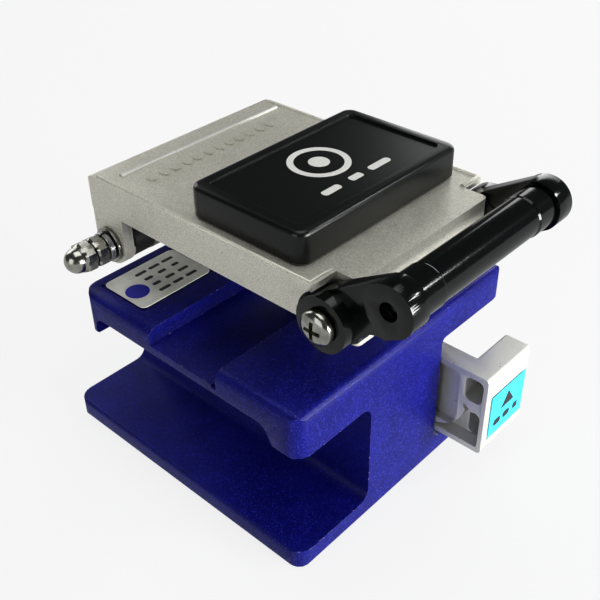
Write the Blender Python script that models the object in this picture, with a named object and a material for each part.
"""Benchtop optical-fibre cleaver: body casting, blade slider, hinged lid, spring clamp, anvil and handle.

Origin at the middle of the underside of the base, +Z up, +X to the user's right, -Y towards the user.
Run with: blender --background --python part.py
"""

import math

import bmesh
import bpy
from mathutils import Matrix, Vector

MM = 0.001

# Clearances
GAP = 0.3 * MM  # between pieces that touch
BORE_PLAY = 0.3 * MM  # radial, round every pin, screw and shaft
SWING_PLAY = 0.5 * MM  # round the handle knuckle in its pocket

# Body casting: base plate, pillar and table
BASE_WIDTH = 60.0 * MM
BASE_DEPTH = 65.0 * MM
PLATE_THICKNESS = 4.0 * MM
CORNER_RADIUS = 3.5 * MM
EDGE_RADIUS = 0.8 * MM
TABLE_EDGE_RADIUS = 2.0 * MM
SECTION_FILLET = 2.5 * MM
OVERHANG_FILLET = 1.0 * MM
PILLAR_WIDTH = 20.75 * MM
PILLAR_OFFSET = -0.775 * MM
RIGHT_BAY_EXTRA = 2.6 * MM
TABLE_THICKNESS = 9.0 * MM
REAR_STEP = 9.3 * MM
CHANNEL_START = 18.8 * MM
CHANNEL_WIDTH = 17.2 * MM
CHANNEL_DEPTH = 3.3 * MM
RELIEF_WIDTH = 1.1 * MM
RELIEF_DEPTH = 0.7 * MM
ARCH_START = 5.0 * MM
ARCH_LENGTH = 47.5 * MM
ARCH_SLANT = 2.6 * MM
ARCH_HEIGHT = 4.0 * MM
ARCH_REACH = 15.5 * MM

# Rubber pad in its pocket under the base
PAD_THICKNESS = 1.0 * MM
PAD_PROUD = 0.3 * MM
PAD_MARGIN = 4.0 * MM

# Label on the table
LABEL_THICKNESS = 0.2 * MM
LABEL_CORNER = 1.2 * MM
LABEL_WIDTH = 17.1 * MM
LABEL_DEPTH = 11.9 * MM
LABEL_FROM_LEFT = 3.6 * MM
LABEL_FROM_REAR = 2.3 * MM

# Lid hinge
HINGE_HEIGHT = 7.5 * MM
HINGE_INSET = 1.8 * MM
SHAFT_RADIUS = 1.5 * MM
BARREL_RADIUS = 4.0 * MM
BUSH_LENGTH = 4.2 * MM
BUSH_RADIUS = 3.9 * MM
FOOT_WIDTH = 21.0 * MM
FOOT_DEPTH = 10.4 * MM
FOOT_THICKNESS = 2.2 * MM
FOOT_OFFSET = 2.0 * MM
FOOT_SCREW_SPAN = 12.0 * MM
FOOT_BACK = 1.5 * MM
UPRIGHT_FROM_LEFT = 7.0 * MM
UPRIGHT_FROM_RIGHT = 3.0 * MM
UPRIGHT_FRONT = 2.8 * MM
NUT_FLATS = 5.5 * MM
NUT_HEIGHT = 2.3 * MM
CAP_DOME = 3.0 * MM
SPRING_WASHER_THICKNESS = 1.0 * MM
WASHER_THICKNESS = 0.5 * MM
WASHER_RADIUS = 3.5 * MM
SPRING_WASHER_RADIUS = 2.9 * MM
LOAD_SPRING_PLAY = 1.4 * MM
LOAD_SPRING_TURNS = 3

# Lid casting
LID_WIDTH = 45.6 * MM
LID_LENGTH = 55.7 * MM
LID_REAR_BULGE = 0.9 * MM
LID_RISE = 13.3 * MM
LID_WALL_HEIGHT = 6.9 * MM
LID_WALL = 2.2 * MM
LID_ROOF = 2.4 * MM
LID_CORNER = 1.0 * MM
LID_REAR_ROUND = 2.4 * MM
EAR_THICKNESS = 2.5 * MM
EAR_RADIUS = 4.1 * MM
NOSE_SETBACK = 5.5 * MM
NOSE_LENGTH = 4.6 * MM
NOSE_HEIGHT = 12.5 * MM
NOSE_WALL = 3.0 * MM
CHEEK = 5.0 * MM
BOSS_DROP = 7.7 * MM

# Black cover on the lid
COVER_MARGIN = 2.2 * MM
COVER_DEPTH = 25.4 * MM
COVER_HEIGHT = 5.6 * MM
COVER_SETBACK = 4.1 * MM
COVER_WALL = 1.6 * MM
COVER_CORNER = 2.2 * MM
COVER_EDGE = 0.9 * MM
COVER_SCREW_INSET = 6.9 * MM
COVER_SCREW_BACK = 8.5 * MM
PANEL_MARGIN = 2.4 * MM
PANEL_RECESS = 0.4 * MM

# Handle
PIVOT_BACK = 2.3 * MM
PIVOT_DROP = 5.7 * MM
KNUCKLE_RADIUS = 4.9 * MM
KNUCKLE_THICKNESS = 6.0 * MM
ARM_THICKNESS = 3.9 * MM
ARM_LENGTH = 13.0 * MM
ARM_ANGLE = math.radians(31.5)
ARM_END_RADIUS = 4.4 * MM
ARM_WAIST_RADIUS = 4.0 * MM
ARM_WAIST_DEPTH = 1.6 * MM
CROSSBAR_RADIUS = 3.8 * MM
CROSSBAR_HOLE = 1.5 * MM
CROSSBAR_SCREW_LENGTH = 6.0 * MM
PIVOT_HEAD_RADIUS = 3.0 * MM
PIVOT_HEAD_HEIGHT = 2.0 * MM
CROSS_SLOT_REACH = 1.7 * MM
CROSS_SLOT_WIDTH = 0.7 * MM
CROSS_SLOT_DEPTH = 1.1 * MM

# Blade and its slider
BLADE_RADIUS = 9.5 * MM
BLADE_THICKNESS = 1.4 * MM
BLADE_RIM = 0.2 * MM
BLADE_MARKS = 8
BLADE_MARK_CIRCLE = 6.5 * MM
BLADE_MARK_RADIUS = 0.5 * MM
BLADE_PROUD = 0.1 * MM
BLADE_FROM_PILLAR = 2.4 * MM
BLADE_BORE = 2.4 * MM
SLIDE_TRAVEL = 12.0 * MM
SLOT_PLAY = 0.6 * MM
BLADE_CLEARANCE = 1.7 * MM
WEB_THICKNESS = 4.3 * MM
WEB_LENGTH = 49.0 * MM
WEB_BOTTOM = 2.7 * MM
SLIDER_HEIGHT = 18.3 * MM
PUSH_WIDTH = 14.2 * MM
PUSH_THICKNESS = 5.7 * MM
PUSH_PROUD = 10.4 * MM
POCKET_RIB = 1.2 * MM
POCKET_WALL = 0.9 * MM
UPPER_POCKET_RISE = 11.7 * MM
PUSH_LABEL_HEIGHT = 10.1 * MM
PUSH_LABEL_FROM_BOTTOM = 2.7 * MM
PUSH_LABEL_FROM_LEFT = 2.2 * MM
RAIL_HEIGHT = 4.0 * MM
RAIL_THICKNESS = 3.4 * MM
RAIL_RISE = 7.2 * MM
RAIL_SCREW_INSET = 6.46 * MM
CARRIAGE_LENGTH = 20.0 * MM
CARRIAGE_HEIGHT = 8.4 * MM
CARRIAGE_BACK = 2.0 * MM
CARRIAGE_LIP = 2.1 * MM
BUMPER_LENGTH = 3.0 * MM
BRACKET_THICKNESS = 2.0 * MM
BRACKET_DEPTH = 14.0 * MM
BRACKET_RISE = 2.0 * MM
BRACKET_CORNER = 1.0 * MM
BRACKET_SCREW_RISE = 0.6 * MM
AXLE_RADIUS = 1.9 * MM
AXLE_SHOULDER = 0.6 * MM
AXLE_HEAD_RADIUS = 2.2 * MM
AXLE_HEAD_HEIGHT = 1.0 * MM

# Clamps and anvil
CLAMP_SPACING = 8.8 * MM
RUBBER_WIDTH = 3.6 * MM
RUBBER_DEPTH = 8.0 * MM
LOWER_RUBBER_HEIGHT = 1.2 * MM
LOWER_RUBBER_PROUD = 0.2 * MM
CLAMP_OPENING = 1.2 * MM
UPPER_RUBBER_HEIGHT = 2.0 * MM
CLAMP_PLATE_THICKNESS = 2.0 * MM
CLAMP_PLATE_DEPTH = 10.0 * MM
CLAMP_PLATE_WIDTH = 17.6 * MM
CLAMP_FLOAT = 1.2 * MM
CLAMP_PLATE_CORNER = 1.0 * MM
CLAMP_SPRING_PLAY = 0.9 * MM
CLAMP_SPRING_TURNS = 4
ANVIL_SPRING_PLAY = 0.6 * MM
ANVIL_SPRING_TURNS = 2
GUIDE_SPACING = 12.8 * MM
GUIDE_RADIUS = 1.2 * MM
GUIDE_BOSS_RADIUS = 2.6 * MM
ANVIL_WIDTH = 2.8 * MM
ANVIL_DEPTH = 6.0 * MM
ANVIL_OPENING = 1.8 * MM
ANVIL_PAD_HEIGHT = 2.0 * MM
ANVIL_BLOCK_HEIGHT = 3.6 * MM
ANVIL_STEM_RADIUS = 1.5 * MM
ANVIL_BOSS_RADIUS = 3.0 * MM
SPRING_WIRE = 0.4 * MM

# Stop post and magnet that hold the closed lid
STOP_X = -8.0 * MM
STOP_FROM_FRONT = 13.5 * MM
STOP_RADIUS = 2.5 * MM
STOP_STUD_RADIUS = 1.5 * MM
STOP_STUD_LENGTH = 3.4 * MM
STOP_GAP = 1.9 * MM
MAGNET_RADIUS = 3.0 * MM
MAGNET_THICKNESS = 1.6 * MM
MAGNET_BOSS_RADIUS = 4.2 * MM
MAGNET_BOSS_LENGTH = 8.8 * MM

# Small screws
SCREW_RADIUS = 1.2 * MM
SCREW_HEAD_RADIUS = 2.3 * MM
SCREW_HEAD_HEIGHT = 1.6 * MM
SCREW_LENGTH = 5.5 * MM
HEX_SOCKET_RADIUS = 1.2 * MM

# Places that follow from the sizes above
FRONT = -BASE_DEPTH / 2
REAR = BASE_DEPTH / 2
PLATE_TOP = PAD_PROUD + PLATE_THICKNESS
RAIL_Z = PLATE_TOP + RAIL_RISE
BLADE_Z = RAIL_Z + CARRIAGE_HEIGHT / 2 + BLADE_CLEARANCE + BLADE_RADIUS
TABLE_TOP = BLADE_Z + BLADE_RADIUS - BLADE_PROUD
TABLE_UNDER = TABLE_TOP - TABLE_THICKNESS
OVERHANG_UNDER = TABLE_UNDER + RIGHT_BAY_EXTRA
TABLE_REAR = REAR - REAR_STEP
CHANNEL_FLOOR = TABLE_TOP - CHANNEL_DEPTH
CHANNEL_FRONT = FRONT + CHANNEL_START
CHANNEL_REAR = CHANNEL_FRONT + CHANNEL_WIDTH
FIBRE_Y = CHANNEL_FRONT + CHANNEL_WIDTH / 2
PILLAR_LEFT = PILLAR_OFFSET - PILLAR_WIDTH / 2
PILLAR_RIGHT = PILLAR_OFFSET + PILLAR_WIDTH / 2
HINGE_Y = TABLE_REAR - HINGE_INSET
HINGE_Z = TABLE_TOP + HINGE_HEIGHT
LID_TOP = HINGE_Z + LID_RISE
LID_WALL_BOTTOM = LID_TOP - LID_WALL_HEIGHT
LID_CEILING = LID_TOP - LID_ROOF
LID_HALF = LID_WIDTH / 2
EAR_REAR = HINGE_Y + EAR_RADIUS
LID_REAR = EAR_REAR + LID_REAR_BULGE
LID_FRONT = LID_REAR - LID_LENGTH
NOSE_FRONT = LID_FRONT - NOSE_LENGTH
NOSE_HALF = LID_HALF - NOSE_SETBACK
BARREL_HALF = LID_HALF - EAR_THICKNESS - BUSH_LENGTH - 2 * GAP
PIVOT_Y = NOSE_FRONT + PIVOT_BACK
PIVOT_Z = LID_TOP - PIVOT_DROP
BAR_Y = PIVOT_Y - ARM_LENGTH * math.cos(ARM_ANGLE)
BAR_Z = PIVOT_Z + ARM_LENGTH * math.sin(ARM_ANGLE)
ARM_INNER = NOSE_HALF + 2 * GAP
BLADE_X = PILLAR_RIGHT + BLADE_FROM_PILLAR
BLADE_Y = FIBRE_Y - SLIDE_TRAVEL / 2
SLIDER_LOW = PLATE_TOP + WEB_BOTTOM
SLIDER_HIGH = SLIDER_LOW + SLIDER_HEIGHT
WEB_LEFT = PILLAR_RIGHT + GAP
WEB_RIGHT = WEB_LEFT + WEB_THICKNESS
PUSH_FRONT = FRONT - PUSH_PROUD
PUSH_REAR = PUSH_FRONT + PUSH_THICKNESS
CARRIAGE_REAR = BLADE_Y + CARRIAGE_LENGTH / 2
CARRIAGE_FRONT = CARRIAGE_REAR - CARRIAGE_LENGTH
RAIL_FRONT = CARRIAGE_FRONT - GAP
RAIL_REAR = CARRIAGE_REAR + SLIDE_TRAVEL
CLAMP_LOW = TABLE_TOP + LOWER_RUBBER_PROUD + CLAMP_OPENING
CLAMP_PLATE_LOW = CLAMP_LOW + UPPER_RUBBER_HEIGHT + GAP
CLAMP_PLATE_HIGH = CLAMP_PLATE_LOW + CLAMP_PLATE_THICKNESS
BOSS_BOTTOM = LID_CEILING - BOSS_DROP
ANVIL_LOW = TABLE_TOP + ANVIL_OPENING + BLADE_PROUD
ANVIL_BLOCK_LOW = ANVIL_LOW + ANVIL_PAD_HEIGHT + GAP
ANVIL_BLOCK_HIGH = ANVIL_BLOCK_LOW + ANVIL_BLOCK_HEIGHT
STOP_Y = FRONT + STOP_FROM_FRONT
MAGNET_BOSS_BOTTOM = LID_CEILING - MAGNET_BOSS_LENGTH
MAGNET_LOW = MAGNET_BOSS_BOTTOM - GAP / 2
LABEL_LEFT = -BASE_WIDTH / 2 + LABEL_FROM_LEFT
LABEL_REAR = TABLE_REAR - LABEL_FROM_REAR
FOOT_LEFT = FOOT_OFFSET - FOOT_WIDTH / 2
FOOT_RIGHT = FOOT_OFFSET + FOOT_WIDTH / 2
FOOT_REAR = HINGE_Y + FOOT_BACK
FOOT_FRONT = FOOT_REAR - FOOT_DEPTH
FOOT_SCREW_Y = FOOT_FRONT + SCREW_HEAD_RADIUS + GAP
FOOT_SCREWS = (("left", FOOT_OFFSET - FOOT_SCREW_SPAN / 2), ("right", FOOT_OFFSET + FOOT_SCREW_SPAN / 2))
RAIL_SCREWS = (("front", RAIL_FRONT + RAIL_SCREW_INSET), ("rear", RAIL_REAR - RAIL_SCREW_INSET))
PUSH_RIGHT = WEB_LEFT + PUSH_WIDTH
PUSH_LABEL_LEFT = WEB_LEFT + PUSH_LABEL_FROM_LEFT
CARRIAGE_RIGHT = PILLAR_RIGHT + CARRIAGE_BACK
BRACKET_FRONT = BLADE_Y - BRACKET_DEPTH / 2
BRACKET_REAR = BLADE_Y + BRACKET_DEPTH / 2
BRACKET_LEFT = WEB_RIGHT + GAP
BRACKET_RIGHT = BRACKET_LEFT + BRACKET_THICKNESS
BRACKET_SCREW_Z = RAIL_Z + BRACKET_SCREW_RISE
BRACKET_SCREWS = (("front", BLADE_Y - BRACKET_DEPTH / 4), ("rear", BLADE_Y + BRACKET_DEPTH / 4))
AXLE_THREAD = AXLE_RADIUS - AXLE_SHOULDER
GUIDES = (("left", BLADE_X - GUIDE_SPACING / 2), ("right", BLADE_X + GUIDE_SPACING / 2))
COVER_FRONT = LID_FRONT + COVER_SETBACK
COVER_REAR = COVER_FRONT + COVER_DEPTH
COVER_LEFT = -LID_HALF + COVER_MARGIN
COVER_RIGHT = LID_HALF - COVER_MARGIN
COVER_SCREWS = (
    ("left", COVER_LEFT + COVER_SCREW_INSET, (COVER_FRONT + COVER_REAR) / 2),
    ("right", COVER_RIGHT - COVER_SCREW_INSET, COVER_FRONT + COVER_SCREW_BACK),
)

ROUND = 32  # sides of a plain round piece
SMALL_ROUND = 20  # sides of a screw or pin
ARC_STEPS = 5  # steps in a quarter-round corner
PAST = 1 * MM  # how far a helper shape runs past the faces it cuts


# ---------------------------------------------------------------- outlines

def arc(centre, radius, start, end, steps=ARC_STEPS):
    """Points along an arc, angles in degrees, counted anticlockwise."""
    points = []
    for step in range(steps + 1):
        angle = math.radians(start + (end - start) * step / steps)
        points.append((centre[0] + radius * math.cos(angle), centre[1] + radius * math.sin(angle)))
    return points


def rounded_outline(corners):
    """A closed outline from (u, v, radius) corners, each rounded by its own radius."""
    points = []
    count = len(corners)
    for index, (u, v, radius) in enumerate(corners):
        here = Vector((u, v))
        if radius <= 0:
            points.append((u, v))
            continue
        before = (Vector(corners[index - 1][:2]) - here).normalized()
        after = (Vector(corners[(index + 1) % count][:2]) - here).normalized()
        half_angle = before.angle(after) / 2
        reach = radius / math.tan(half_angle)
        centre = here + (before + after).normalized() * (radius / math.sin(half_angle))
        first = here + before * reach - centre
        last = here + after * reach - centre
        start = math.degrees(math.atan2(first.y, first.x))
        turn = math.degrees(math.atan2(first.x * last.y - first.y * last.x, first.dot(last)))
        points.extend(arc(centre, radius, start, start + turn))
    return points


def box_outline(low_u, high_u, low_v, high_v, radius=0.0):
    corners = [(low_u, low_v), (high_u, low_v), (high_u, high_v), (low_u, high_v)]
    return rounded_outline([(u, v, radius) for u, v in corners])


def circle_outline(centre, radius, sides=ROUND):
    return arc(centre, radius, 0, 360, sides)[:-1]


def hull_outline(first, first_radius, second, second_radius, steps=10):
    """The outline round two circles and their outer tangents."""
    reach = Vector(second) - Vector(first)
    heading = math.degrees(math.atan2(reach.y, reach.x))
    lean = math.degrees(math.acos((first_radius - second_radius) / reach.length))
    points = arc(second, second_radius, heading - lean, heading + lean, steps)
    return points + arc(first, first_radius, heading + lean, heading + 360 - lean, steps)


# ---------------------------------------------------------------- solids

def place(axis, u, v, along):
    """A point from an outline's (u, v) and its distance along the axis."""
    if axis == "X":
        return Vector((along, u, v))
    if axis == "Y":
        return Vector((u, along, v))
    return Vector((u, v, along))


def prism(outline, axis, low, high):
    """The outline pushed along an axis, from low to high.

    Outlines are (y, z) on the X axis, (x, z) on Y and (x, y) on Z.
    """
    shape = bmesh.new()
    bottom = [shape.verts.new(place(axis, u, v, low)) for u, v in outline]
    top = [shape.verts.new(place(axis, u, v, high)) for u, v in outline]
    shape.faces.new(bottom)
    shape.faces.new(top)
    for index in range(len(outline)):
        after = (index + 1) % len(outline)
        shape.faces.new((bottom[index], bottom[after], top[after], top[index]))
    bmesh.ops.recalc_face_normals(shape, faces=shape.faces)
    return shape


def block(low, high):
    return prism(box_outline(low[0], high[0], low[1], high[1]), "Z", low[2], high[2])


def rod(axis, centre, radius, low, high, sides=SMALL_ROUND):
    return prism(circle_outline(centre, radius, sides), axis, low, high)


def turned(axis, centre, profile, sides=SMALL_ROUND):
    """A solid of revolution from (distance along the axis, radius) points. A radius of 0 closes an end."""
    shape = bmesh.new()
    rings = []
    for along, radius in profile:
        if radius <= 0:
            rings.append([shape.verts.new(place(axis, centre[0], centre[1], along))])
        else:
            outline = circle_outline(centre, radius, sides)
            rings.append([shape.verts.new(place(axis, u, v, along)) for u, v in outline])
    for ring, after in zip(rings, rings[1:]):
        for index in range(sides):
            following = (index + 1) % sides
            if len(ring) == 1:
                shape.faces.new((ring[0], after[index], after[following]))
            elif len(after) == 1:
                shape.faces.new((ring[index], ring[following], after[0]))
            else:
                shape.faces.new((ring[index], ring[following], after[following], after[index]))
    for ring in (rings[0], rings[-1]):
        if len(ring) > 1:
            shape.faces.new(ring)
    bmesh.ops.recalc_face_normals(shape, faces=shape.faces)
    return shape


def coil(axis, centre, radius, wire, low, high, turns, steps_per_turn=12, sides=6):
    """A helical spring whose wire stays between low and high along the axis."""
    shape = bmesh.new()
    rings = []
    steps = int(turns * steps_per_turn)
    climb = (high - low - 2 * wire) / steps
    for step in range(steps + 1):
        angle = 2 * math.pi * step / steps_per_turn
        outward = Vector((math.cos(angle), math.sin(angle)))
        ring = []
        for side in range(sides):
            around = 2 * math.pi * side / sides
            flat = Vector(centre) + outward * (radius + wire * math.cos(around))
            along = low + wire + climb * step + wire * math.sin(around)
            ring.append(shape.verts.new(place(axis, flat.x, flat.y, along)))
        rings.append(ring)
    for ring, after in zip(rings, rings[1:]):
        for side in range(sides):
            following = (side + 1) % sides
            shape.faces.new((ring[side], ring[following], after[following], after[side]))
    shape.faces.new(rings[0])
    shape.faces.new(rings[-1])
    bmesh.ops.recalc_face_normals(shape, faces=shape.faces)
    return shape


# ---------------------------------------------------------------- objects

def finish(name, colour, roughness, metallic):
    """A plain Principled material."""
    material = bpy.data.materials.new(name)
    material.use_nodes = True
    shader = material.node_tree.nodes["Principled BSDF"]
    shader.inputs["Base Color"].default_value = (*colour, 1.0)
    shader.inputs["Roughness"].default_value = roughness
    shader.inputs["Metallic"].default_value = metallic
    material.diffuse_color = (*colour, 1.0)
    return material


def pivot(name, location, parent=None):
    """An empty on a joint's axis. The moving pieces hang from it."""
    empty = bpy.data.objects.new(name, None)
    empty.empty_display_size = 5 * MM
    bpy.context.scene.collection.objects.link(empty)
    empty.parent = parent
    empty.location = Vector(location) - world_place(parent)
    return empty


def world_place(parent):
    """Where a chain of unturned empties puts its last one."""
    total = Vector((0, 0, 0))
    while parent is not None:
        total += parent.location
        parent = parent.parent
    return total


def piece(name, shape, colour, roughness, metallic=0.0, on=None):
    """One named piece, made from a shape in world coordinates and hung from its joint's empty."""
    mesh = bpy.data.meshes.new(name)
    shape.to_mesh(mesh)
    shape.free()
    mesh.transform(Matrix.Translation(-world_place(on)))
    mesh.shade_smooth()
    mesh.set_sharp_from_angle(angle=math.radians(35))
    mesh.materials.append(finish(name, colour, roughness, metallic))
    made = bpy.data.objects.new(name, mesh)
    made.parent = on
    bpy.context.scene.collection.objects.link(made)
    return made


def tool(target, label, shape, operation):
    """Cuts, joins or trims a piece with a helper shape that stays hidden."""
    helper = piece(target.name + "_" + label, shape, (0.8, 0.2, 0.2), 0.5, 0.0, target.parent)
    helper.hide_render = True
    helper.display_type = "WIRE"
    change = target.modifiers.new(label, "BOOLEAN")
    change.operation = operation
    change.solver = "EXACT"
    change.object = helper


def cut(target, label, shape):
    tool(target, label, shape, "DIFFERENCE")


def join(target, label, shape):
    tool(target, label, shape, "UNION")


def trim(target, label, shape):
    tool(target, label, shape, "INTERSECT")


# ---------------------------------------------------------------- the fixed body

BLUE = (0.012, 0.014, 0.30)
SILVER = (0.55, 0.55, 0.52)
BLACK = (0.012, 0.012, 0.013)
RUBBER = (0.02, 0.02, 0.02)
CHROME = (0.75, 0.75, 0.76)
STEEL = (0.48, 0.49, 0.50)
CARBIDE = (0.35, 0.36, 0.38)
BRASS = (0.62, 0.47, 0.20)
LABEL_WHITE = (0.72, 0.72, 0.68)
LABEL_CYAN = (0.08, 0.75, 0.90)


def make_body_frame():
    """Base plate, pillar and table in one casting: an I section, trimmed from above and from the side."""
    half = BASE_WIDTH / 2
    section = rounded_outline([
        (-half, PAD_PROUD, EDGE_RADIUS),
        (half, PAD_PROUD, EDGE_RADIUS),
        (half, PLATE_TOP, EDGE_RADIUS),
        (PILLAR_RIGHT, PLATE_TOP, SECTION_FILLET),
        (PILLAR_RIGHT, OVERHANG_UNDER, OVERHANG_FILLET),
        (half, OVERHANG_UNDER, EDGE_RADIUS),
        (half, TABLE_TOP, TABLE_EDGE_RADIUS),
        (-half, TABLE_TOP, TABLE_EDGE_RADIUS),
        (-half, TABLE_UNDER, EDGE_RADIUS),
        (PILLAR_LEFT, TABLE_UNDER, SECTION_FILLET),
        (PILLAR_LEFT, PLATE_TOP, SECTION_FILLET),
        (-half, PLATE_TOP, EDGE_RADIUS),
    ])
    frame = piece("body_frame", prism(section, "Y", FRONT - PAST, REAR + PAST), BLUE, 0.45)
    trim(frame, "plan", prism(box_outline(-half, half, FRONT, REAR, CORNER_RADIUS), "Z",
                              PAD_PROUD - PAST, TABLE_TOP + PAST))
    side = rounded_outline([
        (FRONT, PAD_PROUD, EDGE_RADIUS),
        (REAR, PAD_PROUD, EDGE_RADIUS),
        (REAR, TABLE_TOP + PAST, 0),
        (FRONT + TABLE_EDGE_RADIUS, TABLE_TOP + PAST, 0),
        (FRONT + TABLE_EDGE_RADIUS, TABLE_TOP, 0),
    ]) + arc((FRONT + TABLE_EDGE_RADIUS, TABLE_TOP - TABLE_EDGE_RADIUS), TABLE_EDGE_RADIUS, 90, 180)[1:]
    trim(frame, "side", prism(side, "X", -half - PAST, half + PAST))
    step = (
        [(-half - PAST, TABLE_REAR - CORNER_RADIUS)]
        + arc((-half + CORNER_RADIUS, TABLE_REAR - CORNER_RADIUS), CORNER_RADIUS, 180, 90)
        + arc((half - CORNER_RADIUS, TABLE_REAR - CORNER_RADIUS), CORNER_RADIUS, 90, 0)
        + [(half + PAST, TABLE_REAR - CORNER_RADIUS), (half + PAST, REAR + PAST)]
        + [(-half - PAST, REAR + PAST)]
    )
    cut(frame, "rear_step", prism(step, "Z", TABLE_UNDER - SECTION_FILLET, TABLE_TOP + PAST))
    cut(frame, "channel", block((-half - PAST, CHANNEL_FRONT, CHANNEL_FLOOR),
                                (half + PAST, CHANNEL_REAR, TABLE_TOP + PAST)))
    cut(frame, "relief", block((-half - PAST, CHANNEL_FRONT, CHANNEL_FLOOR - RELIEF_DEPTH),
                               (half + PAST, CHANNEL_FRONT + RELIEF_WIDTH, CHANNEL_FLOOR + PAST)))
    arch_front = FRONT + ARCH_START
    arch_top = TABLE_UNDER + ARCH_HEIGHT
    arch = rounded_outline([
        (arch_front, TABLE_UNDER - PAST, 0),
        (arch_front + ARCH_LENGTH, TABLE_UNDER - PAST, 0),
        (arch_front + ARCH_LENGTH, arch_top, SECTION_FILLET),
        (arch_front + ARCH_SLANT, arch_top, SECTION_FILLET),
    ])
    cut(frame, "arch", prism(arch, "X", -half - PAST, -half + ARCH_REACH))
    cut(frame, "blade_slot", block(
        (BLADE_X - BLADE_THICKNESS / 2 - SLOT_PLAY, BLADE_Y - BLADE_RADIUS - 2 * SLOT_PLAY,
         OVERHANG_UNDER - OVERHANG_FILLET),
        (BLADE_X + BLADE_THICKNESS / 2 + SLOT_PLAY, BLADE_Y + SLIDE_TRAVEL + BLADE_RADIUS + 2 * SLOT_PLAY,
         TABLE_TOP + PAST)))
    groove_half = CARRIAGE_HEIGHT / 2 + GAP
    cut(frame, "rail_groove", block(
        (PILLAR_RIGHT - RAIL_THICKNESS - 2 * GAP, RAIL_FRONT - GAP, RAIL_Z - groove_half),
        (PILLAR_RIGHT + PAST, RAIL_REAR + BUMPER_LENGTH + 2 * GAP, RAIL_Z + groove_half)))
    hole = SCREW_RADIUS + BORE_PLAY
    rail_seat = PILLAR_RIGHT - RAIL_THICKNESS
    for label, y in RAIL_SCREWS:
        cut(frame, "rail_hole_" + label, rod("X", (y, RAIL_Z), hole, rail_seat - SCREW_LENGTH, rail_seat))
    margin = PAD_MARGIN - GAP
    cut(frame, "pad_pocket", prism(
        box_outline(-half + margin, half - margin, FRONT + margin, REAR - margin, CORNER_RADIUS),
        "Z", PAD_PROUD - PAST, PAD_THICKNESS + GAP))
    cut(frame, "label_recess", block(
        (LABEL_LEFT - GAP, LABEL_REAR - LABEL_DEPTH - GAP, TABLE_TOP - GAP),
        (LABEL_LEFT + LABEL_WIDTH + GAP, LABEL_REAR + GAP, TABLE_TOP + PAST)))
    for label, x in FOOT_SCREWS:
        bottom = TABLE_TOP + FOOT_THICKNESS - SCREW_LENGTH - GAP
        cut(frame, "foot_hole_" + label, rod("Z", (x, FOOT_SCREW_Y), hole, bottom, TABLE_TOP + PAST))
    cut(frame, "stop_hole", rod("Z", (STOP_X, STOP_Y), STOP_STUD_RADIUS + BORE_PLAY,
                                TABLE_TOP - STOP_STUD_LENGTH - GAP, TABLE_TOP + PAST))


def make_base_pad():
    half = BASE_WIDTH / 2 - PAD_MARGIN
    depth = BASE_DEPTH / 2 - PAD_MARGIN
    piece("base_pad", prism(box_outline(-half, half, -depth, depth, CORNER_RADIUS), "Z", 0, PAD_THICKNESS),
          RUBBER, 0.9)


def make_table_label():
    outline = box_outline(LABEL_LEFT, LABEL_LEFT + LABEL_WIDTH, LABEL_REAR - LABEL_DEPTH, LABEL_REAR,
                          LABEL_CORNER)
    piece("table_label", prism(
        outline, "Z", TABLE_TOP, TABLE_TOP + LABEL_THICKNESS), LABEL_WHITE, 0.5)


def make_screw(name, axis, centre, seat, away, on=None, length=SCREW_LENGTH, colour=STEEL):
    """A cap screw whose head rests on seat. away is +1 or -1, the way its head points."""
    head = rod(axis, centre, SCREW_HEAD_RADIUS, seat, seat + away * SCREW_HEAD_HEIGHT)
    made = piece(name, head, colour, 0.3, 1.0, on)
    overlap = SCREW_HEAD_HEIGHT / 2
    join(made, "shank", rod(axis, centre, SCREW_RADIUS, seat - away * (length - GAP), seat + away * overlap))
    socket = prism(circle_outline(centre, HEX_SOCKET_RADIUS, 6), axis, seat + away * overlap,
                   seat + away * (SCREW_HEAD_HEIGHT + GAP))
    cut(made, "socket", socket)


def make_hinge_block():
    """The bearing that the lid's shaft turns in: a barrel on a pedestal with a screwed foot."""
    centre = (HINGE_Y, HINGE_Z)
    barrel = piece("hinge_block", rod("X", centre, BARREL_RADIUS, -BARREL_HALF, BARREL_HALF, ROUND),
                   CHROME, 0.25, 1.0)
    foot_low = TABLE_TOP + GAP
    foot_top = foot_low + FOOT_THICKNESS
    join(barrel, "foot", block((FOOT_LEFT, FOOT_FRONT, foot_low), (FOOT_RIGHT, FOOT_REAR, foot_top)))
    upright = prism(box_outline(HINGE_Y - UPRIGHT_FRONT, FOOT_REAR, foot_top - GAP, HINGE_Z), "X",
                    -BARREL_HALF + UPRIGHT_FROM_LEFT, BARREL_HALF - UPRIGHT_FROM_RIGHT)
    join(barrel, "upright", upright)
    cut(barrel, "bore", rod("X", centre, SHAFT_RADIUS + BORE_PLAY, -BARREL_HALF - GAP, BARREL_HALF + GAP))
    for label, x in FOOT_SCREWS:
        cut(barrel, "hole_" + label, rod("Z", (x, FOOT_SCREW_Y), SCREW_RADIUS + BORE_PLAY, TABLE_TOP,
                                         foot_top + GAP))
        make_screw("hinge_foot_screw_" + label, "Z", (x, FOOT_SCREW_Y), foot_top + GAP, 1)


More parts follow.
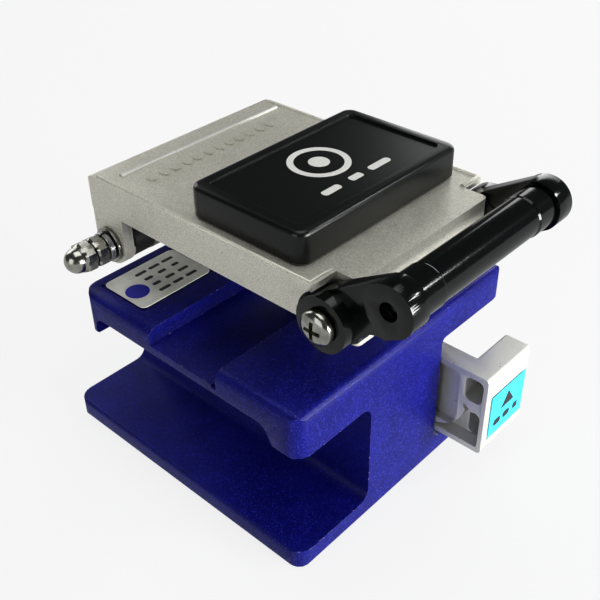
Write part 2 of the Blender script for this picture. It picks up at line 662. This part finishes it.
def make_lower_clamps():
    """Two metal seats in the channel, one each side of the blade slot, each with a rubber pad."""
    seat_top = TABLE_TOP + LOWER_RUBBER_PROUD - LOWER_RUBBER_HEIGHT - GAP
    for label, side in (("left", -1), ("right", 1)):
        x = BLADE_X + side * CLAMP_SPACING / 2
        wide = RUBBER_WIDTH / 2 + 2 * GAP
        deep = RUBBER_DEPTH / 2 + 2 * GAP
        piece("lower_seat_" + label, block((x - wide, FIBRE_Y - deep, CHANNEL_FLOOR + GAP),
                                           (x + wide, FIBRE_Y + deep, seat_top)), SILVER, 0.35, 1.0)
        piece("lower_pad_" + label, prism(
            box_outline(x - RUBBER_WIDTH / 2, x + RUBBER_WIDTH / 2,
                        FIBRE_Y - RUBBER_DEPTH / 2, FIBRE_Y + RUBBER_DEPTH / 2, 2 * GAP),
            "Z", seat_top + GAP, seat_top + GAP + LOWER_RUBBER_HEIGHT), RUBBER, 0.85)


def make_rail():
    """The rail that the slider runs on, screwed into a groove in the pillar, and its rear bumper."""
    high = PILLAR_RIGHT - GAP
    rail = piece("linear_rail", block((high - RAIL_THICKNESS, RAIL_FRONT, RAIL_Z - RAIL_HEIGHT / 2),
                                      (high, RAIL_REAR, RAIL_Z + RAIL_HEIGHT / 2)), STEEL, 0.25, 1.0)
    for label, y in RAIL_SCREWS:
        cut(rail, "hole_" + label, rod("X", (y, RAIL_Z), SCREW_RADIUS + BORE_PLAY,
                                       high - RAIL_THICKNESS - GAP, high + GAP))
        piece("rail_screw_" + label, rod("X", (y, RAIL_Z), SCREW_RADIUS,
                                         high - RAIL_THICKNESS - SCREW_LENGTH + 2 * GAP, high - GAP),
              CHROME, 0.3, 1.0)
    piece("rear_bumper", block((high - RAIL_THICKNESS, RAIL_REAR + GAP, RAIL_Z - CARRIAGE_HEIGHT / 2),
                               (high, RAIL_REAR + GAP + BUMPER_LENGTH, RAIL_Z + CARRIAGE_HEIGHT / 2)),
          RUBBER, 0.9)


def make_stop_post():
    """The post that the closed lid comes down on. It is steel, so that the lid's magnet holds to it."""
    top = MAGNET_LOW - STOP_GAP
    bevel = STOP_RADIUS / 5
    piece("lid_stop_post", turned("Z", (STOP_X, STOP_Y), [
        (TABLE_TOP - STOP_STUD_LENGTH, STOP_STUD_RADIUS),
        (TABLE_TOP + GAP, STOP_STUD_RADIUS),
        (TABLE_TOP + GAP, STOP_RADIUS),
        (top - bevel, STOP_RADIUS),
        (top, STOP_RADIUS - bevel),
    ]), CHROME, 0.3, 1.0)


# ---------------------------------------------------------------- the slider and its blade

def make_slider(on):
    """Die-cast web with the push block on its front end, hollowed between ribs on its left side."""
    web = rounded_outline([
        (PUSH_FRONT, SLIDER_LOW, EDGE_RADIUS),
        (PUSH_FRONT + WEB_LENGTH + PUSH_THICKNESS, SLIDER_LOW, EDGE_RADIUS),
        (PUSH_FRONT + WEB_LENGTH + PUSH_THICKNESS, SLIDER_HIGH, EDGE_RADIUS),
        (PUSH_FRONT, SLIDER_HIGH, EDGE_RADIUS),
    ])
    casting = piece("slider_casting", prism(web, "X", WEB_LEFT, WEB_RIGHT), SILVER, 0.45, 0.8, on)
    join(casting, "push_block", prism(
        box_outline(PUSH_FRONT, PUSH_REAR, SLIDER_LOW, SLIDER_HIGH, EDGE_RADIUS), "X",
        WEB_LEFT + GAP / 3, PUSH_RIGHT))
    rib = POCKET_RIB
    upper_low = SLIDER_LOW + UPPER_POCKET_RISE
    pocket_front = PUSH_FRONT + POCKET_WALL
    pocket_rear = PUSH_REAR - POCKET_WALL
    cut(casting, "upper_window", prism(
        box_outline(pocket_front, pocket_rear, upper_low, SLIDER_HIGH - rib, rib), "X",
        WEB_LEFT - PAST, PUSH_RIGHT - 2 * rib))
    lower_high = upper_low - rib
    lower_low = SLIDER_LOW + rib
    bend = lower_high - lower_low - rib
    quarter = rounded_outline([
        (pocket_front, lower_high, rib),
        (pocket_front, lower_low, rib / 2),
        (pocket_rear + bend, lower_low, 0),
        (pocket_rear + bend, lower_low + rib / 2, 0),
    ]) + arc((pocket_rear + bend, lower_high), bend + rib / 2, 270, 180, 8)[1:-1] + [
        (pocket_rear, lower_high - rib), (pocket_rear, lower_high)]
    web_pocket = WEB_THICKNESS - rib
    cut(casting, "lower_window", prism(quarter, "X", WEB_LEFT - PAST, WEB_LEFT + web_pocket))
    cut(casting, "lower_deep", prism(
        box_outline(pocket_front, pocket_rear, lower_low, lower_high, rib), "X",
        WEB_LEFT + web_pocket / 2, PUSH_RIGHT - 2 * rib))
    hollow_low = lower_high - bend + rib
    cut(casting, "web_hollow", prism(rounded_outline([
        (pocket_rear + rib, SLIDER_HIGH - rib, rib),
        (pocket_rear + rib, hollow_low, 2 * rib),
        (CARRIAGE_FRONT - 2 * rib, hollow_low, rib),
        (CARRIAGE_FRONT - 2 * rib, SLIDER_HIGH - rib, rib),
    ]), "X", WEB_LEFT - PAST, WEB_LEFT + web_pocket / 2))
    cut(casting, "blade_gap", block(
        (WEB_LEFT - PAST, BLADE_Y - BLADE_RADIUS - rib, BLADE_Z - BLADE_RADIUS - rib),
        (WEB_RIGHT + PAST, BLADE_Y + BLADE_RADIUS + rib, SLIDER_HIGH + PAST)))
    cut(casting, "carriage_seat", block(
        (WEB_LEFT - PAST, CARRIAGE_FRONT - GAP, SLIDER_LOW - PAST),
        (CARRIAGE_RIGHT + GAP, CARRIAGE_REAR + GAP, RAIL_Z + CARRIAGE_HEIGHT / 2 + GAP)))
    label_low = SLIDER_LOW + PUSH_LABEL_FROM_BOTTOM
    cut(casting, "label_recess", block(
        (PUSH_LABEL_LEFT - GAP, PUSH_FRONT - PAST, label_low - GAP),
        (PUSH_RIGHT + PAST, PUSH_FRONT + GAP + LABEL_THICKNESS / 2, label_low + PUSH_LABEL_HEIGHT + GAP)))
    for label, y in BRACKET_SCREWS:
        cut(casting, "bracket_hole_" + label, rod("X", (y, BRACKET_SCREW_Z), SCREW_RADIUS + BORE_PLAY,
                                                  CARRIAGE_RIGHT - GAP, WEB_RIGHT + PAST))
    piece("push_label", block(
        (PUSH_LABEL_LEFT, PUSH_FRONT - LABEL_THICKNESS / 2, label_low),
        (PUSH_RIGHT - GAP, PUSH_FRONT + LABEL_THICKNESS / 2, label_low + PUSH_LABEL_HEIGHT)),
        LABEL_CYAN, 0.5, 0.0, on)


def make_carriage(on):
    """The bearing block that hugs the rail on three sides."""
    half = CARRIAGE_HEIGHT / 2
    groove = RAIL_HEIGHT / 2 + GAP
    left = PILLAR_RIGHT - CARRIAGE_LIP
    section = rounded_outline([
        (left, -half, 0), (CARRIAGE_RIGHT, -half, 0), (CARRIAGE_RIGHT, half, 0), (left, half, 0),
        (left, groove, 0), (PILLAR_RIGHT, groove, 0), (PILLAR_RIGHT, -groove, 0), (left, -groove, 0),
    ])
    piece("rail_carriage", prism([(x, RAIL_Z + z) for x, z in section], "Y", CARRIAGE_FRONT, CARRIAGE_REAR),
          STEEL, 0.3, 1.0, on)


def make_blade_bracket(on):
    """The plate on the web's right side that carries the blade's axle, with its two screws and nut."""
    low = SLIDER_LOW + BRACKET_RISE
    high = OVERHANG_UNDER - 2 * GAP
    corner = BRACKET_CORNER
    plate = prism(rounded_outline([
        (BRACKET_FRONT, low, corner), (BRACKET_REAR, low, corner),
        (BRACKET_REAR, SLIDER_HIGH, corner), (BLADE_Y + 2 * AXLE_HEAD_RADIUS, high, 2 * corner),
        (BLADE_Y - 2 * AXLE_HEAD_RADIUS, high, 2 * corner), (BRACKET_FRONT, SLIDER_HIGH, corner),
    ]), "X", BRACKET_LEFT, BRACKET_RIGHT)
    bracket = piece("blade_bracket", plate, STEEL, 0.35, 1.0, on)
    cut(bracket, "axle_hole", rod("X", (BLADE_Y, BLADE_Z), AXLE_THREAD + BORE_PLAY,
                                  BRACKET_LEFT - GAP, BRACKET_RIGHT + GAP))
    for label, y in BRACKET_SCREWS:
        cut(bracket, "hole_" + label, rod("X", (y, BRACKET_SCREW_Z), SCREW_RADIUS + BORE_PLAY,
                                          BRACKET_LEFT - GAP, BRACKET_RIGHT + GAP))
        make_screw("bracket_screw_" + label, "X", (y, BRACKET_SCREW_Z), BRACKET_RIGHT + GAP, 1, on,
                   BRACKET_THICKNESS + WEB_RIGHT - CARRIAGE_RIGHT)
    centre = (BLADE_Y, BLADE_Z)
    nut_low = BRACKET_RIGHT + GAP
    nut_high = nut_low + NUT_HEIGHT
    lock = piece("blade_lock_nut", prism(circle_outline(centre, NUT_FLATS / math.sqrt(3), 6), "X",
                                         nut_low, nut_high), CHROME, 0.25, 1.0, on)
    cut(lock, "thread", rod("X", centre, AXLE_THREAD + BORE_PLAY, nut_low - GAP, nut_high + GAP))


def make_blade(on_slider, on_blade):
    """The round carbide blade, its turning positions marked by holes, and its shouldered axle."""
    left = BLADE_X - BLADE_THICKNESS / 2
    right = BLADE_X + BLADE_THICKNESS / 2
    rim = BLADE_RIM / 2
    edge = BLADE_THICKNESS / 2 - rim
    centre = BLADE_Y, BLADE_Z
    wheel = piece("blade_wheel", turned("X", centre, [
        (left, BLADE_RADIUS - edge), (BLADE_X - rim, BLADE_RADIUS),
        (BLADE_X + rim, BLADE_RADIUS), (right, BLADE_RADIUS - edge),
    ], 48), CARBIDE, 0.2, 1.0, on_blade)
    cut(wheel, "bore", rod("X", centre, BLADE_BORE, left - GAP, right + GAP))
    for index, at in enumerate(circle_outline(centre, BLADE_MARK_CIRCLE, BLADE_MARKS)):
        cut(wheel, "mark_%d" % index, rod("X", at, BLADE_MARK_RADIUS, left - GAP, right + GAP, 8))
    head_right = left - GAP
    piece("blade_axle", turned("X", centre, [
        (head_right - AXLE_HEAD_HEIGHT, AXLE_HEAD_RADIUS),
        (head_right, AXLE_HEAD_RADIUS),
        (head_right, AXLE_RADIUS),
        (BRACKET_LEFT - GAP, AXLE_RADIUS),
        (BRACKET_LEFT - GAP, AXLE_THREAD),
        (BRACKET_RIGHT + NUT_HEIGHT + 2 * GAP, AXLE_THREAD),
    ]), CHROME, 0.25, 1.0, on_slider)


# ---------------------------------------------------------------- the lid

def make_lid_casting(on):
    """Open-bottomed die-cast lid with a narrow deep nose in front and two hinge ears behind."""
    plan = rounded_outline([
        (-LID_HALF, LID_REAR, LID_CORNER), (-LID_HALF, LID_FRONT, LID_CORNER),
        (-NOSE_HALF, LID_FRONT, 0), (-NOSE_HALF, NOSE_FRONT, LID_CORNER),
        (NOSE_HALF, NOSE_FRONT, LID_CORNER), (NOSE_HALF, LID_FRONT, 0),
        (LID_HALF, LID_FRONT, LID_CORNER), (LID_HALF, LID_REAR, LID_CORNER),
    ])
    lid = piece("lid_casting", prism(plan, "Z", LID_WALL_BOTTOM, LID_TOP), SILVER, 0.5, 0.7, on)
    nose_low = LID_TOP - NOSE_HEIGHT
    inner_front = LID_FRONT + LID_WALL
    nose = rounded_outline([
        (-NOSE_HALF, inner_front, 0), (-NOSE_HALF, NOSE_FRONT, LID_CORNER),
        (NOSE_HALF, NOSE_FRONT, LID_CORNER), (NOSE_HALF, inner_front, 0),
    ])
    join(lid, "nose", prism(nose, "Z", nose_low, LID_WALL_BOTTOM + PAST))
    for label, side in (("left", -1), ("right", 1)):
        ear = [(HINGE_Y - EAR_RADIUS, LID_WALL_BOTTOM + PAST), (HINGE_Y - EAR_RADIUS, HINGE_Z)]
        ear += arc((HINGE_Y, HINGE_Z), EAR_RADIUS, 180, 360, 10)[1:]
        ear += [(HINGE_Y + EAR_RADIUS, LID_WALL_BOTTOM + PAST)]
        low, high = sorted((side * LID_HALF, side * (LID_HALF - EAR_THICKNESS)))
        join(lid, "ear_" + label, prism(ear, "X", low, high))
    below = HINGE_Z - 2 * EAR_RADIUS
    side_view = rounded_outline([
        (NOSE_FRONT - PAST, below, 0), (LID_REAR + PAST, below, 0),
        (LID_REAR + PAST, LID_WALL_BOTTOM - PAST, 0), (EAR_REAR + GAP, LID_WALL_BOTTOM - PAST, 0),
        (LID_REAR, LID_WALL_BOTTOM + LID_WALL, LID_REAR_ROUND), (LID_REAR, LID_TOP, LID_REAR_ROUND),
        (NOSE_FRONT - PAST, LID_TOP, 0),
    ])
    trim(lid, "side", prism(side_view, "X", -LID_HALF - PAST, LID_HALF + PAST))
    inner = LID_HALF - LID_WALL
    cut(lid, "hollow", block((-inner, inner_front, nose_low - PAST),
                             (inner, LID_REAR - LID_WALL, LID_CEILING)))
    cut(lid, "nose_hollow", block((-NOSE_HALF + CHEEK, NOSE_FRONT + NOSE_WALL, nose_low - PAST),
                                  (NOSE_HALF - CHEEK, inner_front + PAST, LID_CEILING)))
    up = LID_CEILING + LID_ROOF / 2
    for label, x in GUIDES:
        join(lid, "guide_boss_" + label, rod("Z", (x, FIBRE_Y), GUIDE_BOSS_RADIUS, BOSS_BOTTOM, up))
        cut(lid, "guide_bore_" + label, rod("Z", (x, FIBRE_Y), GUIDE_RADIUS + BORE_PLAY, BOSS_BOTTOM - PAST,
                                            LID_CEILING + GAP))
    join(lid, "anvil_boss", rod("Z", (BLADE_X, FIBRE_Y), ANVIL_BOSS_RADIUS, BOSS_BOTTOM, up))
    cut(lid, "anvil_bore", rod("Z", (BLADE_X, FIBRE_Y), ANVIL_STEM_RADIUS + BORE_PLAY, BOSS_BOTTOM - PAST,
                               LID_CEILING + GAP))
    join(lid, "magnet_boss", rod("Z", (STOP_X, STOP_Y), MAGNET_BOSS_RADIUS, MAGNET_BOSS_BOTTOM, up))
    cut(lid, "magnet_pocket", rod("Z", (STOP_X, STOP_Y), MAGNET_RADIUS + BORE_PLAY,
                                  MAGNET_BOSS_BOTTOM - PAST, MAGNET_LOW + MAGNET_THICKNESS + GAP))
    bore = SHAFT_RADIUS + BORE_PLAY
    cut(lid, "shaft_bore", rod("X", (HINGE_Y, HINGE_Z), bore, -LID_HALF - PAST, LID_HALF + PAST))
    for label, side in (("left", -1), ("right", 1)):
        low, high = sorted((side * NOSE_HALF, side * (LID_HALF + PAST)))
        cut(lid, "knuckle_pocket_" + label,
            rod("X", (PIVOT_Y, PIVOT_Z), KNUCKLE_RADIUS + SWING_PLAY, low, high, ROUND))
        low, high = sorted((side * (NOSE_HALF + PAST), side * (NOSE_HALF - CHEEK - PAST)))
        cut(lid, "pivot_hole_" + label, rod("X", (PIVOT_Y, PIVOT_Z), bore, low, high))
    for label, x, y in COVER_SCREWS:
        cut(lid, "cover_hole_" + label,
            rod("Z", (x, y), SCREW_RADIUS + BORE_PLAY, LID_CEILING - PAST, LID_TOP + PAST))


def make_cover(on):
    """The black moulded cover on the lid: a shallow box, open below, with a sunk panel on top."""
    low = LID_TOP + GAP
    high = low + COVER_HEIGHT
    steps = 3
    shape = bmesh.new()
    levels = [(low, 0.0), (high - COVER_EDGE, 0.0)]
    for step in range(1, steps + 1):
        angle = math.pi / 2 * step / steps
        levels.append((high - COVER_EDGE * (1 - math.sin(angle)), COVER_EDGE * (1 - math.cos(angle))))
    rings = []
    for z, inset in levels:
        outline = box_outline(COVER_LEFT + inset, COVER_RIGHT - inset,
                              COVER_FRONT + inset, COVER_REAR - inset, COVER_CORNER - inset)
        rings.append([shape.verts.new((x, y, z)) for x, y in outline])
    for ring, after in zip(rings, rings[1:]):
        for index in range(len(ring)):
            following = (index + 1) % len(ring)
            shape.faces.new((ring[index], ring[following], after[following], after[index]))
    shape.faces.new(rings[0])
    shape.faces.new(rings[-1])
    bmesh.ops.recalc_face_normals(shape, faces=shape.faces)
    cover = piece("top_cover", shape, BLACK, 0.15, 0.0, on)
    wall = COVER_WALL
    inside = box_outline(COVER_LEFT + wall, COVER_RIGHT - wall, COVER_FRONT + wall, COVER_REAR - wall,
                         COVER_CORNER / 2)
    cut(cover, "hollow", prism(inside, "Z", low - GAP, high - wall))
    for label, x, y in COVER_SCREWS:
        join(cover, "post_" + label, rod("Z", (x, y), 2 * SCREW_RADIUS, low, high - wall / 2))
        cut(cover, "post_bore_" + label,
            rod("Z", (x, y), SCREW_RADIUS + BORE_PLAY, low - GAP, high - 2 * wall))
        make_screw("cover_screw_" + label, "Z", (x, y), LID_CEILING - GAP, -1, on,
                   LID_ROOF + COVER_HEIGHT / 2)
    margin = PANEL_MARGIN
    cut(cover, "panel", prism(box_outline(COVER_LEFT + margin, COVER_RIGHT - margin, COVER_FRONT + margin,
                                          COVER_REAR - margin, COVER_CORNER / 2),
                              "Z", high - PANEL_RECESS, high + GAP))


def make_lid_magnet(on):
    piece("lid_magnet", rod("Z", (STOP_X, STOP_Y), MAGNET_RADIUS, MAGNET_LOW, MAGNET_LOW + MAGNET_THICKNESS),
          CHROME, 0.25, 1.0, on)


def hexagon(centre, flats):
    return arc(centre, flats / math.sqrt(3), 30, 390, 6)[:-1]


def make_hinge_hardware(on):
    """The hex bolt that is the hinge shaft, its washers, nuts and bush, and its load spring."""
    centre = (HINGE_Y, HINGE_Z)
    bore = SHAFT_RADIUS + BORE_PLAY
    washer_out = LID_HALF + GAP + WASHER_THICKNESS
    spring_in = washer_out + GAP
    spring_out = spring_in + SPRING_WASHER_THICKNESS
    jam_out = spring_out + GAP + NUT_HEIGHT
    cap_in = jam_out + GAP
    cap_flat = cap_in + NUT_HEIGHT
    for label, side in (("left", -1), ("right", 1)):
        low, high = sorted((side * (LID_HALF + GAP), side * washer_out))
        washer = piece("flat_washer_" + label, rod("X", centre, WASHER_RADIUS, low, high, ROUND),
                       CHROME, 0.25, 1.0, on)
        cut(washer, "bore", rod("X", centre, bore, low - GAP, high + GAP))
    lock = piece("spring_washer", rod("X", centre, SPRING_WASHER_RADIUS, -spring_out, -spring_in, ROUND),
                 STEEL, 0.3, 1.0, on)
    cut(lock, "bore", rod("X", centre, bore, -spring_out - GAP, -washer_out))
    cut(lock, "split", block((-spring_out - GAP, HINGE_Y - GAP, HINGE_Z),
                             (-washer_out, HINGE_Y + GAP, HINGE_Z + 2 * WASHER_RADIUS)))
    jam = piece("jam_nut", prism(hexagon(centre, NUT_FLATS), "X", -jam_out, -spring_out - GAP),
                CHROME, 0.2, 1.0, on)
    cut(jam, "thread", rod("X", centre, bore, -jam_out - GAP, -spring_out))
    cap = piece("cap_nut", prism(hexagon(centre, NUT_FLATS), "X", -cap_flat, -cap_in), CHROME, 0.15, 1.0, on)
    dome = NUT_FLATS / 2 - GAP
    profile = [(-cap_flat + GAP, dome), (-cap_flat, dome)]
    for step in range(1, ARC_STEPS):
        angle = math.pi / 2 * step / ARC_STEPS
        profile.append((-cap_flat - CAP_DOME * math.sin(angle), dome * math.cos(angle)))
    profile.append((-cap_flat - CAP_DOME, 0))
    join(cap, "dome", turned("X", centre, profile))
    cut(cap, "thread", rod("X", centre, bore, -cap_flat - CAP_DOME / 4, -cap_in + GAP))
    head_out = spring_in + NUT_HEIGHT
    shaft = piece("hinge_shaft", prism(hexagon(centre, NUT_FLATS), "X", spring_in, head_out),
                  CHROME, 0.2, 1.0, on)
    join(shaft, "shank", rod("X", centre, SHAFT_RADIUS, -cap_flat, spring_in + NUT_HEIGHT / 2))
    inner = LID_HALF - EAR_THICKNESS - GAP
    bush = piece("hinge_bush", rod("X", centre, BUSH_RADIUS, -inner, -inner + BUSH_LENGTH, ROUND),
                 BLACK, 0.6, 0.0, on)
    cut(bush, "bore", rod("X", centre, bore, -inner - GAP, -inner + BUSH_LENGTH + GAP))
    piece("hinge_load_spring", coil("X", centre, SHAFT_RADIUS + LOAD_SPRING_PLAY, SPRING_WIRE,
                                    inner - BUSH_LENGTH, inner, LOAD_SPRING_TURNS), STEEL, 0.3, 1.0, on)


# ---------------------------------------------------------------- clamp and anvil

def make_upper_clamp(on_lid, on_clamp):
    """A sprung plate with two rubber pads, guided by two pins that slide in the lid's bosses."""
    half = CLAMP_PLATE_WIDTH / 2
    deep = CLAMP_PLATE_DEPTH / 2
    plate = piece("clamp_plate", prism(
        box_outline(BLADE_X - half, BLADE_X + half, FIBRE_Y - deep, FIBRE_Y + deep, CLAMP_PLATE_CORNER),
        "Z", CLAMP_PLATE_LOW, CLAMP_PLATE_HIGH), SILVER, 0.3, 1.0, on_clamp)
    window = ANVIL_WIDTH / 2 + 1.5 * GAP
    window_deep = ANVIL_DEPTH / 2 + 2 * GAP
    cut(plate, "window", block((BLADE_X - window, FIBRE_Y - window_deep, CLAMP_PLATE_LOW - GAP),
                               (BLADE_X + window, FIBRE_Y + window_deep, CLAMP_PLATE_HIGH + GAP)))
    for label, x in GUIDES:
        cut(plate, "pin_hole_" + label, rod("Z", (x, FIBRE_Y), GUIDE_RADIUS + BORE_PLAY,
                                            CLAMP_PLATE_LOW - GAP, CLAMP_PLATE_HIGH + GAP))
        piece("guide_pin_" + label, rod("Z", (x, FIBRE_Y), GUIDE_RADIUS, CLAMP_PLATE_LOW + GAP,
                                        LID_CEILING - CLAMP_FLOAT - 2 * GAP), CHROME, 0.2, 1.0, on_clamp)
        piece("clamp_spring_" + label, coil(
            "Z", (x, FIBRE_Y), GUIDE_RADIUS + CLAMP_SPRING_PLAY, SPRING_WIRE, CLAMP_PLATE_HIGH + GAP,
            BOSS_BOTTOM - GAP, CLAMP_SPRING_TURNS), STEEL, 0.3, 1.0, on_lid)
    for label, side in (("left", -1), ("right", 1)):
        x = BLADE_X + side * CLAMP_SPACING / 2
        piece("upper_pad_" + label, prism(
            box_outline(x - RUBBER_WIDTH / 2, x + RUBBER_WIDTH / 2,
                        FIBRE_Y - RUBBER_DEPTH / 2, FIBRE_Y + RUBBER_DEPTH / 2, 2 * GAP),
            "Z", CLAMP_LOW, CLAMP_LOW + UPPER_RUBBER_HEIGHT), RUBBER, 0.85, 0.0, on_clamp)


def make_anvil(on_lid, on_anvil):
    """The sprung anvil that bends the scored fibre: a pad under a block whose stem slides in the lid."""
    centre = (BLADE_X, FIBRE_Y)
    wide = ANVIL_WIDTH / 2
    deep = ANVIL_DEPTH / 2
    holder = piece("anvil_holder", block((BLADE_X - wide, FIBRE_Y - deep, ANVIL_BLOCK_LOW),
                                         (BLADE_X + wide, FIBRE_Y + deep, ANVIL_BLOCK_HIGH)),
                   STEEL, 0.3, 1.0, on_anvil)
    join(holder, "stem", rod("Z", centre, ANVIL_STEM_RADIUS - GAP, ANVIL_BLOCK_HIGH - GAP,
                             LID_CEILING - CLAMP_FLOAT - 2 * GAP))
    pad = wide - GAP
    piece("anvil_pad", block((BLADE_X - pad, FIBRE_Y - deep, ANVIL_LOW),
                             (BLADE_X + pad, FIBRE_Y + deep, ANVIL_LOW + ANVIL_PAD_HEIGHT)),
          BRASS, 0.3, 1.0, on_anvil)
    piece("anvil_spring", coil("Z", centre, ANVIL_STEM_RADIUS + ANVIL_SPRING_PLAY, SPRING_WIRE,
                               ANVIL_BLOCK_HIGH + GAP, BOSS_BOTTOM - GAP, ANVIL_SPRING_TURNS),
          STEEL, 0.3, 1.0, on_lid)


# ---------------------------------------------------------------- the handle

def make_handle(on_lid, on_handle):
    """A bail of two arms and a crossbar that swings on two screws in the lid's nose."""
    pivot_at = (PIVOT_Y, PIVOT_Z)
    bar_at = (BAR_Y, BAR_Z)
    middle = ((PIVOT_Y + BAR_Y) / 2, (PIVOT_Z + BAR_Z) / 2)
    below = KNUCKLE_RADIUS + ARM_WAIST_RADIUS - ARM_WAIST_DEPTH
    waist_at = (middle[0] - below * math.sin(ARM_ANGLE), middle[1] - below * math.cos(ARM_ANGLE))
    knuckle_in = NOSE_HALF + GAP
    knuckle_out = knuckle_in + KNUCKLE_THICKNESS
    arm_out = ARM_INNER + ARM_THICKNESS
    for label, side in (("left", -1), ("right", 1)):
        low, high = sorted((side * ARM_INNER, side * arm_out))
        arm = piece("handle_arm_" + label, prism(
            hull_outline(pivot_at, KNUCKLE_RADIUS - GAP, bar_at, ARM_END_RADIUS), "X", low, high),
            BLACK, 0.2, 0.0, on_handle)
        cut(arm, "waist", rod("X", waist_at, ARM_WAIST_RADIUS, low - PAST, high + PAST))
        low, high = sorted((side * knuckle_in, side * knuckle_out))
        join(arm, "knuckle", rod("X", pivot_at, KNUCKLE_RADIUS, low, high, ROUND))
        cut(arm, "pivot_bore", rod("X", pivot_at, SHAFT_RADIUS + BORE_PLAY, low - PAST, high + PAST))
        cut(arm, "bar_hole", rod("X", bar_at, CROSSBAR_HOLE, low - PAST, high + PAST))
        seat = side * (knuckle_out + GAP)
        top = seat + side * PIVOT_HEAD_HEIGHT
        rim = PIVOT_HEAD_HEIGHT / 2
        inside = side * (NOSE_HALF - CHEEK)
        profile = [(inside, SHAFT_RADIUS), (seat, SHAFT_RADIUS), (seat, PIVOT_HEAD_RADIUS)]
        for turn in (0, 30, 60):
            angle = math.radians(turn)
            profile.append((top - side * rim * (1 - math.sin(angle)), PIVOT_HEAD_RADIUS * math.cos(angle)))
        screw = piece("pivot_screw_" + label, turned("X", pivot_at, profile, 24), CHROME, 0.12, 1.0, on_lid)
        low, high = sorted((top - side * CROSS_SLOT_DEPTH, top + side * GAP))
        for way, deep, tall in (("level", CROSS_SLOT_REACH, CROSS_SLOT_WIDTH / 2),
                                ("upright", CROSS_SLOT_WIDTH / 2, CROSS_SLOT_REACH)):
            cut(screw, "slot_" + way, block((low, PIVOT_Y - deep, PIVOT_Z - tall),
                                            (high, PIVOT_Y + deep, PIVOT_Z + tall)))
        bar_end = ARM_INNER - GAP
        low, high = sorted((side * (bar_end - CROSSBAR_SCREW_LENGTH), side * (arm_out - ARM_THICKNESS / 2)))
        piece("crossbar_screw_" + label, rod("X", bar_at, CROSSBAR_HOLE - BORE_PLAY, low, high),
              STEEL, 0.3, 1.0, on_handle)
    bar = piece("crossbar", rod("X", bar_at, CROSSBAR_RADIUS, -bar_end, bar_end, ROUND),
                BLACK, 0.15, 0.0, on_handle)
    for label, side in (("left", -1), ("right", 1)):
        low, high = sorted((side * (bar_end - CROSSBAR_SCREW_LENGTH - GAP), side * (bar_end + PAST)))
        cut(bar, "bore_" + label, rod("X", bar_at, CROSSBAR_HOLE, low, high))


# ---------------------------------------------------------------- the assembly

def clear_scene():
    for old in list(bpy.data.objects):
        bpy.data.objects.remove(old, do_unlink=True)


def main():
    clear_scene()
    make_body_frame()
    make_base_pad()
    make_table_label()
    make_hinge_block()
    make_lower_clamps()
    make_rail()
    make_stop_post()

    slider = pivot("blade_slide_origin", (BLADE_X, PUSH_FRONT, RAIL_Z))
    blade = pivot("blade_turn_axis", (BLADE_X, BLADE_Y, BLADE_Z), slider)
    make_slider(slider)
    make_carriage(slider)
    make_blade_bracket(slider)
    make_blade(slider, blade)

    lid = pivot("lid_hinge_axis", (0, HINGE_Y, HINGE_Z))
    clamp = pivot("clamp_float_origin", (BLADE_X, FIBRE_Y, CLAMP_PLATE_LOW), lid)
    anvil = pivot("anvil_press_origin", (BLADE_X, FIBRE_Y, ANVIL_BLOCK_LOW), lid)
    handle = pivot("handle_swing_axis", (0, PIVOT_Y, PIVOT_Z), lid)
    make_lid_casting(lid)
    make_cover(lid)
    make_lid_magnet(lid)
    make_hinge_hardware(lid)
    make_upper_clamp(lid, clamp)
    make_anvil(lid, anvil)
    make_handle(lid, handle)


main()
